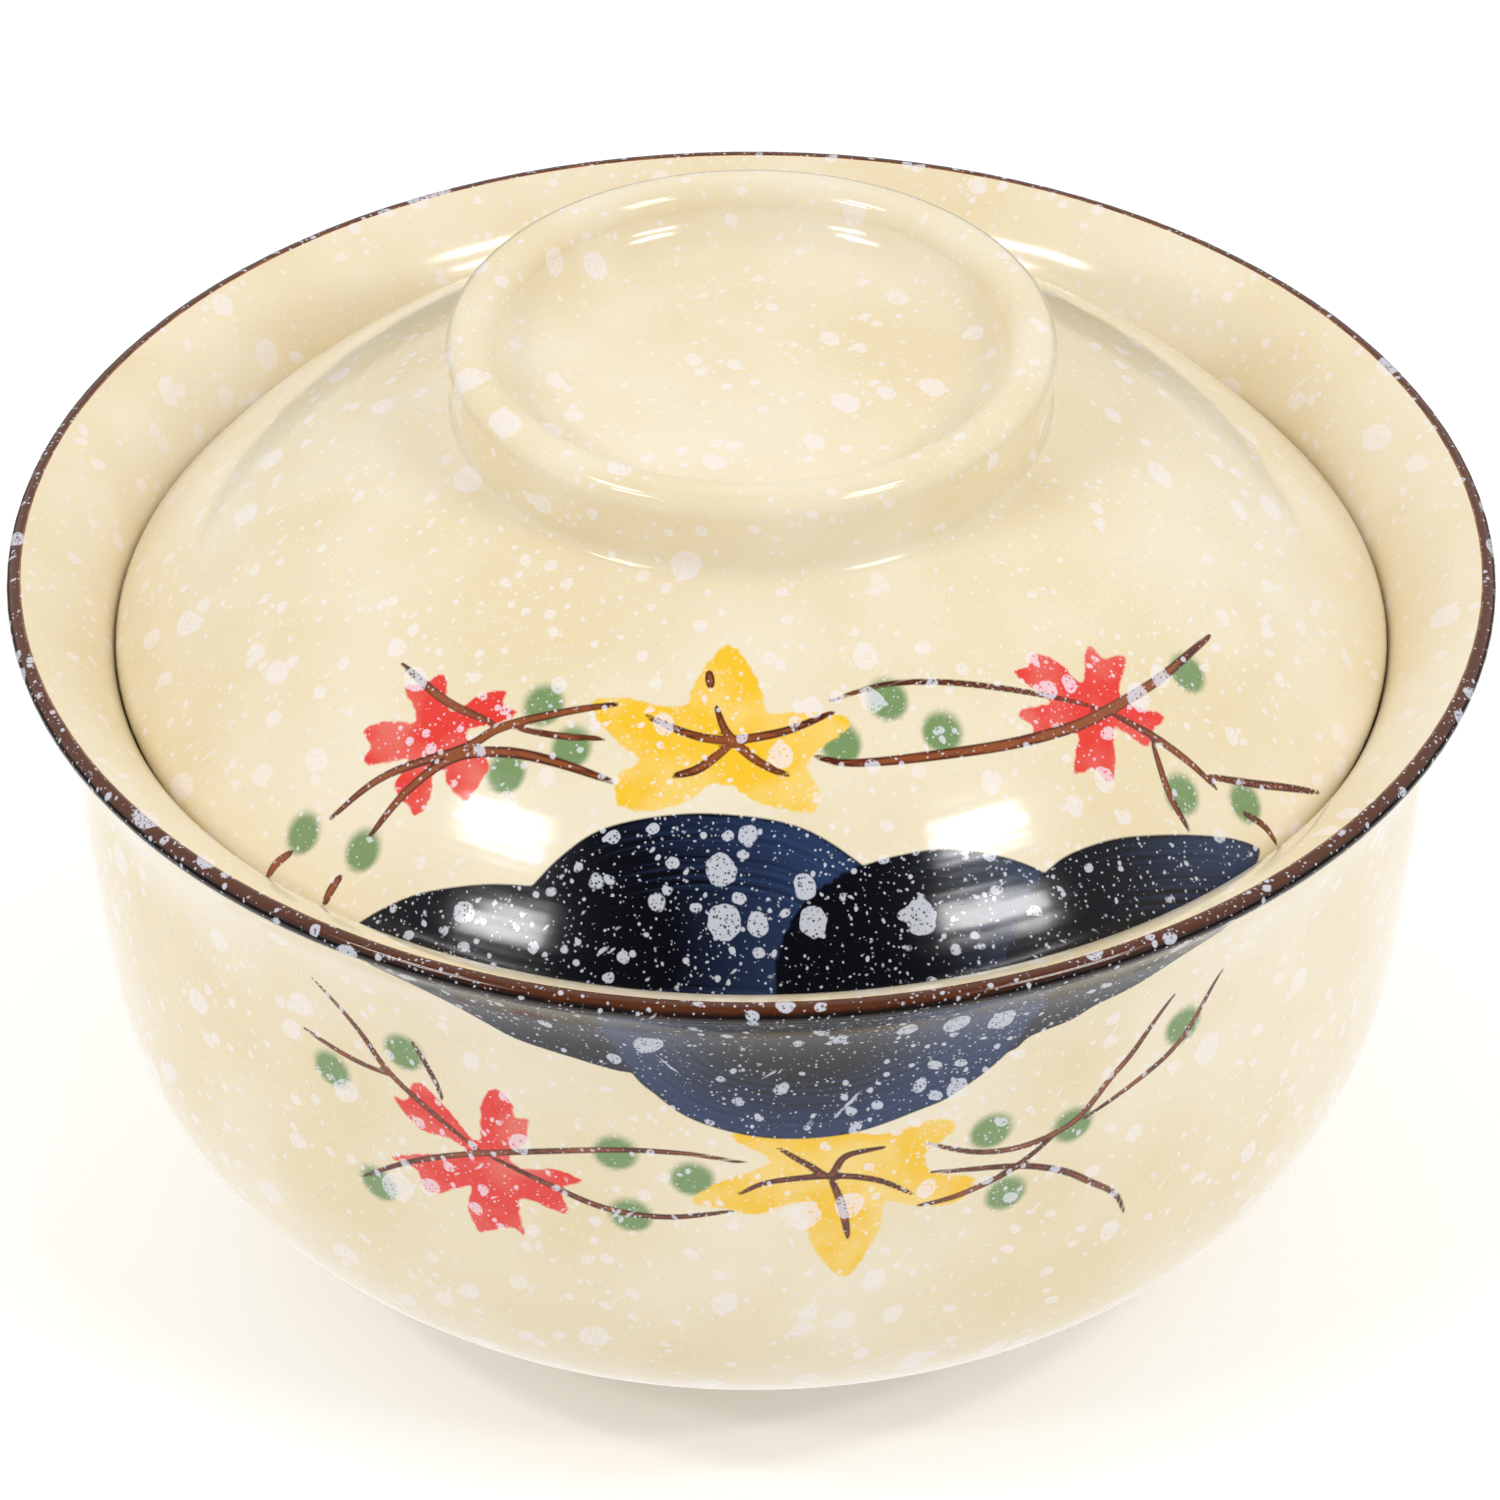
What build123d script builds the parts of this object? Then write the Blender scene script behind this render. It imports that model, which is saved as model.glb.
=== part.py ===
# Lidded donburi bowl in glazed stoneware.
# Millimetres, +Z up. The origin is the centre of the foot ring's standing plane.
# Every profile is drawn as radius and height in the XZ plane and turned about the Z axis.

import os
from math import acos, atan2, cos, degrees, radians, sin, sqrt

from build123d import *

# Overall form of the bowl
rim_diameter = 180.0        # across the lip's outermost circle
bowl_height = 92.0          # standing plane to the lip's crest
flare_reach = 7.2           # how far the lip stands out past the wall
lip_radius = 2.0            # half the thickness of the full-round lip
wall = 6.2                  # clay at the throat, just below the lid's seat
floor_thickness = 7.0       # clay at the middle of the bowl

# Foot ring under the bowl
foot_diameter = 86.4        # where the ring meets the belly
foot_height = 7.4           # standing plane up to the belly
foot_draft = 1.4            # how far the ring draws in towards the table
foot_width = 3.6            # flat standing face
foot_inner_draft = 2.2      # slope of the ring's inner side
foot_recess = 5.2           # standing plane up to the recessed base
foot_edge_fillet = 0.9      # soft arris beside the standing face
foot_root_fillet = 2.6      # where the ring runs into the belly
recess_fillet = 2.0         # where the ring runs into the recessed base

# Lid
seat_gap = 0.3              # glaze clearance between the lid's edge and the flare that it sits in
lid_edge_radius = 2.2       # half the thickness of the lid's rounded edge
dome_rise = 38.6            # middle of the rounded edge up to where the plain dome would peak
lid_shoulder = 6.0          # clay between the dome's two faces under the ring knob
lid_floor = 5.2             # clay at the middle of the lid, under the dished knob

# Ring knob on the lid
knob_diameter = 73.0        # outside of the ring at its crest
knob_rise = 11.3            # crest above the dome, measured at the ring's outer side
knob_roll = 3.0             # half the thickness of the rounded crest
knob_draft = 1.0            # how far the ring's outer side draws in towards the dome
knob_dish = 7.1             # depth of the dished floor below the crest
knob_root_fillet = 3.2      # outer side into the dome
dish_fillet = 2.4           # inner side into the dished floor

# Iron-brown glaze round the lip
glaze_band = 0.5            # thickness of the coat
band_lower_angle = -40.0    # where the coat stops under the lip, from level
band_upper_angle = 95.0     # where the coat stops, just inside the crest

# Slopes in degrees from level
mouth_slope = 28.0          # inner flare where it leaves the lip
seat_angle = 17.0           # how far up the inner flare's arc the lid bears on it
belly_slope = 8.0           # underside of the belly where it meets the foot

# Belly outline between the foot ring and the wall's top: shares of that radius and height
belly_shares = [(0.475, 0.075), (0.739, 0.201), (0.846, 0.297), (0.926, 0.440), (0.963, 0.615)]

# Hollow of the bowl between its middle and the throat: shares of the throat's radius and height
hollow_shares = [(0.42, 0.008), (0.70, 0.060), (0.90, 0.197), (0.967, 0.356), (0.992, 0.577)]


def heading(angle):
    """Unit direction in the profile, as degrees from level."""
    return Vector(1, 0).rotate(Axis.Z, angle)


def around(centre, radius, angle):
    """Point at an angle on a circle in the profile."""
    return centre + radius * heading(angle)


def ring_edge(part, radius, height):
    """The circular edge that lies nearest to a radius and a height."""
    circles = part.edges().filter_by(GeomType.CIRCLE)
    return circles.sort_by(lambda edge: abs(edge.radius - radius) + abs(edge.arc_center.Z - height))[0]


def flare(start, slope, radius):
    """Centre and radius of the arc that leaves a point at a slope and ends upright at another radius."""
    turn = radians(90 - slope)
    bend = (start.X - radius) / (1 - cos(turn))
    return Vector(radius + bend, start.Y - bend * sin(turn)), bend


# Lip and flare: both sides of the flare are arcs, tangent to the lip's roll and to the upright wall
rim_radius = rim_diameter / 2
wall_radius = rim_radius - flare_reach
throat_radius = wall_radius - wall
lip_centre = Vector(rim_radius - lip_radius, bowl_height - lip_radius)
mouth_angle = 90 + mouth_slope
inside_lip = around(lip_centre, lip_radius, mouth_angle)
under_lip = around(lip_centre, lip_radius, band_lower_angle)
inner_flare_centre, inner_flare_radius = flare(inside_lip, mouth_slope, throat_radius)
outer_flare_centre, outer_flare_radius = flare(under_lip, 90 + band_lower_angle, wall_radius)

# Belly and hollow: smooth outlines through shares of the spans that they cross
foot_radius = foot_diameter / 2
belly_span = Vector(wall_radius - foot_radius, outer_flare_centre.Y - foot_height)
belly = [(foot_radius + r * belly_span.X, foot_height + h * belly_span.Y) for r, h in belly_shares]
hollow_floor = foot_recess + floor_thickness
hollow_span = Vector(throat_radius, inner_flare_centre.Y - hollow_floor)
hollow = [(r * hollow_span.X, hollow_floor + h * hollow_span.Y) for r, h in hollow_shares]

os.makedirs("parts", exist_ok=True)

# Bowl: one thrown form with its foot ring, and a rebate in the lip for the brown glaze
stand_outer = foot_radius - foot_draft
stand_inner = stand_outer - foot_width
recess_radius = stand_inner - foot_inner_draft
core_radius = lip_radius - glaze_band

with BuildPart() as bowl:
    with BuildSketch(Plane.XZ):
        with BuildLine():
            Spline((0, hollow_floor), *hollow, (throat_radius, inner_flare_centre.Y),
                   tangents=[heading(0), heading(90)])
            CenterArc(inner_flare_centre, inner_flare_radius, 180, mouth_angle - 180)
            CenterArc(lip_centre, lip_radius, mouth_angle, band_upper_angle - mouth_angle)
            Line(around(lip_centre, lip_radius, band_upper_angle),
                 around(lip_centre, core_radius, band_upper_angle))
            CenterArc(lip_centre, core_radius, band_upper_angle, band_lower_angle - band_upper_angle)
            Line(around(lip_centre, core_radius, band_lower_angle), under_lip)
            CenterArc(outer_flare_centre, outer_flare_radius, 180 + band_lower_angle, -band_lower_angle)
            Spline((wall_radius, outer_flare_centre.Y), *reversed(belly), (foot_radius, foot_height),
                   tangents=[heading(-90), heading(180 + belly_slope)])
            Polyline((foot_radius, foot_height), (stand_outer, 0), (stand_inner, 0),
                     (recess_radius, foot_recess), (0, foot_recess), (0, hollow_floor))
        make_face()
    revolve(axis=Axis.Z)
    fillet(bowl.edges().group_by(Axis.Z)[0], radius=foot_edge_fillet)
    fillet(ring_edge(bowl, foot_radius, foot_height), radius=foot_root_fillet)
    fillet(ring_edge(bowl, recess_radius, foot_recess), radius=recess_fillet)
bowl.part.label = "bowl"
export_step(bowl.part, "parts/bowl.step")

# Brown glaze: a coat of even thickness wrapped over the lip, flush with the glaze above and below it
with BuildPart() as lip_glaze_band:
    with BuildSketch(Plane.XZ):
        with BuildLine():
            band_sweep = band_upper_angle - band_lower_angle
            CenterArc(lip_centre, lip_radius, band_lower_angle, band_sweep)
            Line(around(lip_centre, lip_radius, band_upper_angle),
                 around(lip_centre, core_radius, band_upper_angle))
            CenterArc(lip_centre, core_radius, band_upper_angle, -band_sweep)
            Line(around(lip_centre, core_radius, band_lower_angle), under_lip)
        make_face()
    revolve(axis=Axis.Z)
lip_glaze_band.part.label = "lip_glaze_band"
export_step(lip_glaze_band.part, "parts/lip_glaze_band.step")

# Lid: its rounded edge stands one clearance off the flare, and the dome is tangent to that edge
edge_centre = around(inner_flare_centre, inner_flare_radius + seat_gap + lid_edge_radius, 180 - seat_angle)
inner_rise = dome_rise - lid_edge_radius
dome_radius = (edge_centre.X ** 2 + inner_rise ** 2) / (2 * inner_rise) + lid_edge_radius
dome_centre = Vector(0, edge_centre.Y + dome_rise - dome_radius)
edge_angle = degrees(atan2(edge_centre.Y - dome_centre.Y, edge_centre.X))
edge_inside = around(edge_centre, lid_edge_radius, edge_angle + 180)


def dome_height(radius):
    """Height of the dome's outer surface at a radius."""
    return dome_centre.Y + sqrt(dome_radius ** 2 - radius ** 2)


knob_radius = knob_diameter / 2
knob_crest = dome_height(knob_radius) + knob_rise
roll_centre = Vector(knob_radius - knob_roll, knob_crest - knob_roll)
knob_base_angle = degrees(acos((knob_radius - knob_draft) / dome_radius))
knob_base = around(dome_centre, dome_radius, knob_base_angle)
dish_height = knob_crest - knob_dish
dish_radius = knob_radius - 2 * knob_roll - knob_draft
crown_height = dish_height - lid_floor

with BuildPart() as lid:
    with BuildSketch(Plane.XZ):
        with BuildLine():
            Spline((0, crown_height), (knob_radius, dome_height(knob_radius) - lid_shoulder), edge_inside,
                   tangents=[heading(0), heading(edge_angle - 90)])
            CenterArc(edge_centre, lid_edge_radius, edge_angle + 180, 180)
            CenterArc(dome_centre, dome_radius, edge_angle, knob_base_angle - edge_angle)
            Line(knob_base, around(roll_centre, knob_roll, 0))
            CenterArc(roll_centre, knob_roll, 0, 180)
            Polyline(around(roll_centre, knob_roll, 180), (dish_radius, dish_height), (0, dish_height),
                     (0, crown_height))
        make_face()
    revolve(axis=Axis.Z)
    fillet(ring_edge(lid, knob_base.X, knob_base.Y), radius=knob_root_fillet)
    fillet(ring_edge(lid, dish_radius, dish_height), radius=dish_fillet)
lid.part.label = "lid"
export_step(lid.part, "parts/lid.step")
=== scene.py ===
# Lidded donburi bowl in speckled, glazed stoneware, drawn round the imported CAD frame.
# Metres, +Z up, with the painted front towards -Y. Sizes are written in millimetres, as a potter gives them.

import math

import bpy
import numpy as np
from mathutils import Matrix


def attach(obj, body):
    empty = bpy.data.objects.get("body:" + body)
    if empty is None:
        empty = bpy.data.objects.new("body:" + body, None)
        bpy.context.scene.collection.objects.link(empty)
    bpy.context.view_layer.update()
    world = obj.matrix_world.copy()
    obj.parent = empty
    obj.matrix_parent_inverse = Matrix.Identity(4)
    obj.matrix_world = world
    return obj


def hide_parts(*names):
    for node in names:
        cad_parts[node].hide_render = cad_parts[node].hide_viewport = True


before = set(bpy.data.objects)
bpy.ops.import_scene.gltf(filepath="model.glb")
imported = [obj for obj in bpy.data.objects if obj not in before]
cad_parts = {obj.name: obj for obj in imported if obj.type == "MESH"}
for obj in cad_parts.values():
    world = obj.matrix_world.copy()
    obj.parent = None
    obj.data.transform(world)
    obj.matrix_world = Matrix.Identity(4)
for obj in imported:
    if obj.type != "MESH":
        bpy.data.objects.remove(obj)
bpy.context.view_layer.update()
MM = 0.001

# Camera
# The point of view of the photograph: a long lens, square to the painted front and well above the rim.
# The brushwork below is placed along this camera's lines of sight, so it comes first.
PHOTO_SIDE = 1500               # pixels
FOCAL_PIXELS = 7275.0
AXIS_PIXEL_X = 751.26           # column of the photograph that the bowl's axis falls on
CAMERA_DISTANCE = 900.0
CAMERA_ELEVATION = math.radians(36.87)
AIM_HEIGHT = 60.84
SENSOR_WIDTH = 36.0             # of the camera's film, in mm

EYE = np.array([0.0, -CAMERA_DISTANCE * math.cos(CAMERA_ELEVATION),
                AIM_HEIGHT + CAMERA_DISTANCE * math.sin(CAMERA_ELEVATION)])
FORWARD = np.array([0.0, math.cos(CAMERA_ELEVATION), -math.sin(CAMERA_ELEVATION)])
UPWARD = np.array([0.0, math.sin(CAMERA_ELEVATION), math.cos(CAMERA_ELEVATION)])
RIGHTWARD = np.array([1.0, 0.0, 0.0])


def add_object(name, data):
    """New object that holds the given data, linked to the scene."""
    thing = bpy.data.objects.new(name, data)
    bpy.context.scene.collection.objects.link(thing)
    return thing


camera_lens = bpy.data.cameras.new("camera")
camera_lens.sensor_width = SENSOR_WIDTH
camera_lens.lens = SENSOR_WIDTH * FOCAL_PIXELS / PHOTO_SIDE
camera_lens.shift_x = (PHOTO_SIDE / 2 - AXIS_PIXEL_X) / PHOTO_SIDE
camera = add_object("camera", camera_lens)
camera.location = EYE * MM
camera.rotation_euler = (math.pi / 2 - CAMERA_ELEVATION, 0.0, 0.0)
bpy.context.scene.camera = camera

# Bowl
# One thrown stoneware form on a foot ring, dipped in a cream glaze that is freckled with white.
# The flare turns out to a full-round lip; the outside is painted under the glaze, and the foot is wiped bare.
RIM_DIAMETER = 180.0
BOWL_HEIGHT = 92.0
FLARE_REACH = 7.2
LIP_RADIUS = 1.3                # the glazed lip in the photograph is leaner than the 2.0 of the clay form
WALL = 6.2
FLOOR_THICKNESS = 7.0
FOOT_DIAMETER = 86.4
FOOT_HEIGHT = 7.4
FOOT_DRAFT = 1.4
FOOT_WIDTH = 3.6
FOOT_INNER_DRAFT = 2.2
FOOT_RECESS = 5.2
FOOT_EDGE_FILLET = 0.9
FOOT_ROOT_FILLET = 2.6
RECESS_FILLET = 2.0
GLAZE_BAND = 0.5
FOOT_WIPED = 0.7                # height of the bare clay at the standing ring
BAND_LOWER_ANGLE = -40.0
BAND_UPPER_ANGLE = 110.0
MOUTH_SLOPE = 22.0
BELLY_SLOPE = 8.0
BELLY_SHARES = [(0.475, 0.075), (0.739, 0.201), (0.846, 0.297), (0.926, 0.440), (0.963, 0.615)]
HOLLOW_SHARES = [(0.42, 0.008), (0.70, 0.060), (0.90, 0.197), (0.967, 0.356), (0.992, 0.577)]
PAINT_ROW = 0.5                 # spacing of the mesh's rows under the brushwork
PLAIN_ROW = 3.0                 # and where there is none
FLARE_ROW = 1.2                 # on the inner flare
CORNER_ROW = 0.4                # round the small fillets
PAINTED_FROM = 30.0             # height above which the belly may carry brushwork
BOWL_PAINTED_TO = 51.0          # degrees to either side of the front that may carry it


def heading(angle):
    """Unit direction in the profile, from degrees above level."""
    return np.array([math.cos(math.radians(angle)), math.sin(math.radians(angle))])


def arc(centre, radius, start, end, spacing):
    """Points on a circle in the profile, between two angles in degrees: centre plus radius times heading."""
    count = max(3, 1 + math.ceil(abs(math.radians(end - start)) * radius / spacing))
    angles = np.radians(np.linspace(start, end, count))
    return np.asarray(centre) + radius * np.column_stack([np.cos(angles), np.sin(angles)])


def straight(start, end, spacing):
    """Evenly spaced points from one place in the profile to another."""
    start, end = np.asarray(start, float), np.asarray(end, float)
    count = 1 + max(1, math.ceil(np.linalg.norm(end - start) / spacing))
    return start + np.linspace(0.0, 1.0, count)[:, None] * (end - start)


def flowing(points, first, last):
    """Cubic spline through points, run by chord length, with a unit direction at each end.

    The inner slopes make the curvature run on across each point; between two points the curve is the cubic
    that has their places and slopes. Returns 200 points a span, to be thinned to an even spacing.
    """
    points = np.asarray(points, float)
    span = np.linalg.norm(np.diff(points, axis=0), axis=1)
    count = len(points)
    matrix, wanted = np.eye(count), np.zeros((count, 2))
    wanted[0], wanted[-1] = first, last
    for i in range(1, count - 1):
        matrix[i, i - 1:i + 2] = span[i], 2 * (span[i - 1] + span[i]), span[i - 1]
        before, after = (points[i] - points[i - 1]) / span[i - 1], (points[i + 1] - points[i]) / span[i]
        wanted[i] = 3 * (span[i] * before + span[i - 1] * after)
    slope = np.linalg.solve(matrix, wanted)
    share = np.linspace(0.0, 1.0, 200, endpoint=False)[None, :, None]
    a, b = points[:-1, None], points[1:, None]
    at_a, at_b = slope[:-1, None] * span[:, None, None], slope[1:, None] * span[:, None, None]
    curve = ((2 * share ** 3 - 3 * share ** 2 + 1) * a + (share ** 3 - 2 * share ** 2 + share) * at_a
             + (3 * share ** 2 - 2 * share ** 3) * b + (share ** 3 - share ** 2) * at_b)
    return np.vstack([curve.reshape(-1, 2), points[-1:]])


def run_length(points):
    """Distance along a line of points, from its first."""
    return np.concatenate([[0.0], np.cumsum(np.linalg.norm(np.diff(points, axis=0), axis=1))])


def even(points, spacing):
    """The same line with its points spread evenly along its length."""
    length = run_length(points)
    at = np.linspace(0.0, length[-1], 1 + max(1, math.ceil(length[-1] / spacing)))
    return np.column_stack([np.interp(at, length, points[:, k]) for k in range(2)])


def eased(before, corner, after, radius):
    """Arc that rounds a corner of two straight sides: it touches both, a tangent's length from the corner."""
    before, corner, after = (np.asarray(point, float) for point in (before, corner, after))
    back, on = before - corner, after - corner
    back, on = back / np.linalg.norm(back), on / np.linalg.norm(on)
    half = math.acos(np.clip(back @ on, -1, 1)) / 2
    middle = corner + (back + on) / np.linalg.norm(back + on) * radius / math.sin(half)
    touch = [corner + side * radius / math.tan(half) - middle for side in (back, on)]
    start, end = (math.degrees(math.atan2(t[1], t[0])) for t in touch)
    end += 360 * round((start - end) / 360)
    return arc(middle, radius, start, end, CORNER_ROW)


def flare(start, slope, radius):
    """Centre and radius of the arc that leaves a point at a slope and ends upright at another radius."""
    turn = math.radians(90 - slope)
    bend = (start[0] - radius) / (1 - math.cos(turn))
    return np.array([radius + bend, start[1] - bend * math.sin(turn)]), bend


def joined(*lines):
    """Lines end to end as one, without the points that two of them share."""
    points = np.vstack(lines)
    keep = np.concatenate([[True], np.linalg.norm(np.diff(points, axis=0), axis=1) > 1e-6])
    return points[keep]


def turning(front_half, front_step, plain_step):
    """Angles of a turned mesh's columns, 0 at the front: close across the painted front, wide behind."""
    front = np.linspace(-front_half, front_half, 1 + round(2 * front_half / front_step))
    behind = np.linspace(front_half, 360 - front_half, 1 + round((360 - 2 * front_half) / plain_step))
    return np.radians(np.concatenate([front, behind[1:-1]]))


def turned(name, profile, angles, ends_on_axis=True):
    """Closed surface of revolution: each profile point (radius, height) is carried round the Z axis.

    x is radius times sine of the angle and y is minus radius times its cosine. Where both ends lie on the
    axis they are single points, joined by fans; otherwise the last row joins the first. Returns the object
    and each vertex's row and angle, which runs from minus to plus half a turn with the front in the middle.
    """
    rows = profile[1:-1] if ends_on_axis else profile
    count, around = len(rows), len(angles)
    grid = np.empty((count, around, 3))
    grid[..., 0] = rows[:, :1] * np.sin(angles)
    grid[..., 1] = -rows[:, :1] * np.cos(angles)
    grid[..., 2] = rows[:, 1:]
    index = np.arange(count * around).reshape(count, around)
    step = np.roll(index, -1, axis=1)
    last_below = count - 1 if ends_on_axis else count
    below, below_step = index[:last_below], step[:last_below]
    above, above_step = np.roll(index, -1, axis=0)[:last_below], np.roll(step, -1, axis=0)[:last_below]
    quads = np.stack([below, below_step, above_step, above], axis=-1).reshape(-1, 4)
    points = grid.reshape(-1, 3)
    row_of = np.repeat(np.arange(count), around) + (1 if ends_on_axis else 0)
    angle_of = np.tile((angles + math.pi) % (2 * math.pi) - math.pi, count)
    fans = np.empty((0, 3), int)
    if ends_on_axis:
        first, last = len(points), len(points) + 1
        points = np.vstack([points, [0, 0, profile[0, 1]], [0, 0, profile[-1, 1]]])
        row_of, angle_of = np.append(row_of, [0, len(profile) - 1]), np.append(angle_of, [0.0, 0.0])
        fans = np.vstack([np.column_stack([np.full(around, first), step[0], index[0]]),
                          np.column_stack([np.full(around, last), index[-1], step[-1]])])
    triangles = np.vstack([quads[:, [0, 1, 2]], quads[:, [0, 2, 3]], fans])
    a, b, c = (points[triangles[:, k]] for k in range(3))
    if np.einsum("ij,ij->i", a, np.cross(b, c)).sum() < 0:
        quads, fans = quads[:, ::-1], fans[:, ::-1]
    mesh = bpy.data.meshes.new(name)
    mesh.vertices.add(len(points))
    mesh.vertices.foreach_set("co", (points * MM).astype(np.float32).ravel())
    corners = np.concatenate([quads.ravel(), fans.ravel()])
    sizes = np.concatenate([np.full(len(quads), 4), np.full(len(fans), 3)])
    mesh.loops.add(len(corners))
    mesh.loops.foreach_set("vertex_index", corners)
    mesh.polygons.add(len(sizes))
    mesh.polygons.foreach_set("loop_start", np.concatenate([[0], np.cumsum(sizes)[:-1]]))
    mesh.polygons.foreach_set("loop_total", sizes)
    mesh.update(calc_edges=True)
    mesh.validate()
    mesh.shade_smooth()
    return add_object(name, mesh), row_of, angle_of


rim_radius = RIM_DIAMETER / 2
wall_radius = rim_radius - FLARE_REACH
throat_radius = wall_radius - WALL
lip_centre = np.array([rim_radius - LIP_RADIUS, BOWL_HEIGHT - LIP_RADIUS])
core_radius = LIP_RADIUS - GLAZE_BAND
mouth_angle = 90 + MOUTH_SLOPE
under_lip = lip_centre + LIP_RADIUS * heading(BAND_LOWER_ANGLE)
inside_lip = lip_centre + LIP_RADIUS * heading(mouth_angle)
inner_flare_centre, inner_flare_radius = flare(inside_lip, MOUTH_SLOPE, throat_radius)
outer_flare_centre, outer_flare_radius = flare(under_lip, 90 + BAND_LOWER_ANGLE, wall_radius)
foot_radius = FOOT_DIAMETER / 2
stand_outer = foot_radius - FOOT_DRAFT
stand_inner = stand_outer - FOOT_WIDTH
recess_radius = stand_inner - FOOT_INNER_DRAFT
hollow_floor = FOOT_RECESS + FLOOR_THICKNESS

belly_span = np.array([wall_radius - foot_radius, outer_flare_centre[1] - FOOT_HEIGHT])
belly = [(foot_radius, FOOT_HEIGHT),
         *(np.array([foot_radius, FOOT_HEIGHT]) + np.array(BELLY_SHARES) * belly_span),
         (wall_radius, outer_flare_centre[1])]
belly_curve = flowing(belly, heading(BELLY_SLOPE), heading(90))
hollow_span = np.array([throat_radius, inner_flare_centre[1] - hollow_floor])
hollow = [(0, hollow_floor), *(np.array([0, hollow_floor]) + np.array(HOLLOW_SHARES) * hollow_span),
          (throat_radius, inner_flare_centre[1])]
hollow_curve = flowing(hollow, heading(0), heading(90))

recess_corner, inner_arris = (recess_radius, FOOT_RECESS), (stand_inner, 0)
outer_arris, root_corner = (stand_outer, 0), (foot_radius, FOOT_HEIGHT)
root = eased(outer_arris, root_corner, np.array(root_corner) + heading(BELLY_SLOPE), FOOT_ROOT_FILLET)
foot = joined(straight((0, FOOT_RECESS), (recess_radius - RECESS_FILLET, FOOT_RECESS), 2 * PLAIN_ROW),
              eased((0, FOOT_RECESS), recess_corner, inner_arris, RECESS_FILLET),
              eased(recess_corner, inner_arris, outer_arris, FOOT_EDGE_FILLET),
              eased(inner_arris, outer_arris, root_corner, FOOT_EDGE_FILLET), root)
low_belly = belly_curve[(belly_curve[:, 0] > root[-1, 0]) & (belly_curve[:, 1] < PAINTED_FROM)]
high_belly = belly_curve[belly_curve[:, 1] >= PAINTED_FROM]
outside = joined(even(low_belly, PLAIN_ROW), even(high_belly, PAINT_ROW),
                 arc(outer_flare_centre, outer_flare_radius, 180, 180 + BAND_LOWER_ANGLE, PAINT_ROW))
rebate = joined([under_lip], arc(lip_centre, core_radius, BAND_LOWER_ANGLE, BAND_UPPER_ANGLE, CORNER_ROW),
                [lip_centre + LIP_RADIUS * heading(BAND_UPPER_ANGLE)])
inside = joined(arc(lip_centre, LIP_RADIUS, BAND_UPPER_ANGLE, mouth_angle, CORNER_ROW),
                arc(inner_flare_centre, inner_flare_radius, mouth_angle, 180, FLARE_ROW),
                even(hollow_curve[::-1], PLAIN_ROW))
bowl_profile = joined(foot, outside, rebate, inside)
bowl_angles = turning(front_half=52, front_step=0.34, plain_step=3.0)
glazed_bowl, bowl_row, bowl_angle = turned("glazed_bowl", bowl_profile, bowl_angles)

# Brushwork on the bowl: where its points stand in the photograph's pixels, each stroke's width in mm first.
BOWL_TWIGS = [
    (0.9, [(312, 978), (357, 1028), (389, 1072), (434, 1114), (485, 1155)]),
    (0.8, [(304, 1028), (351, 1058), (395, 1077)]),
    (0.75, [(410, 1039), (434, 1079), (443, 1101)]),
    (0.9, [(363, 1176), (414, 1161), (485, 1153), (596, 1150), (679, 1153), (747, 1163)]),
    (0.95, [(484, 1153), (500, 1161), (548, 1184), (605, 1208), (666, 1217), (733, 1211)]),
    (0.95, [(925, 1143), (976, 1152), (1020, 1147), (1059, 1131), (1083, 1113), (1110, 1079), (1136, 1048),
     (1175, 994)]),
    (0.85, [(1083, 1119), (1134, 1083), (1170, 1052), (1194, 1020), (1223, 969)]),
    (0.95, [(931, 1172), (1012, 1166), (1059, 1170), (1091, 1182), (1115, 1194), (1124, 1212)]),
    (0.95, [(917, 1206), (956, 1196), (1004, 1174), (1027, 1158), (1055, 1135)])]
BOWL_VEINS = [
    (0.95, [(778, 1148), (810, 1166), (830, 1176), (846, 1156), (885, 1147)]),
    (0.95, [(739, 1194), (770, 1182), (830, 1176), (877, 1180), (913, 1194)]),
    (1.0, [(830, 1176), (842, 1206), (848, 1238)])]
BOWL_BUDS = [(332, 1068), (404, 1051), (378, 1182), (616, 1152), (692, 1178), (630, 1214), (992, 1130),
             (1072, 1124), (1183, 1024), (1006, 1192)]
BOWL_RED_LEAF = [
    (394, 1097), (407, 1100), (412, 1084), (424, 1085), (448, 1110), (478, 1142), (481, 1104), (492, 1090),
    (500, 1091), (512, 1104), (514, 1117), (527, 1119), (528, 1128), (525, 1142), (509, 1157), (524, 1169),
    (553, 1169), (580, 1179), (578, 1183), (561, 1189), (568, 1213), (550, 1208), (521, 1198), (520, 1216),
    (525, 1236), (512, 1227), (483, 1232), (476, 1227), (468, 1207), (471, 1186), (454, 1189), (439, 1193),
    (424, 1188), (420, 1175), (410, 1166), (393, 1159), (395, 1156), (424, 1154), (465, 1155), (451, 1139),
    (424, 1131), (407, 1116)]
BOWL_YELLOW_LEAF = [
    (735, 1133), (739, 1143), (770, 1162), (719, 1182), (691, 1202), (731, 1210), (759, 1214), (802, 1202),
    (810, 1241), (830, 1269), (846, 1276), (861, 1261), (881, 1226), (885, 1202), (917, 1206), (956, 1202),
    (974, 1178), (933, 1172), (925, 1154), (940, 1143), (956, 1125), (933, 1119), (877, 1135), (806, 1120)]
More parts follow.
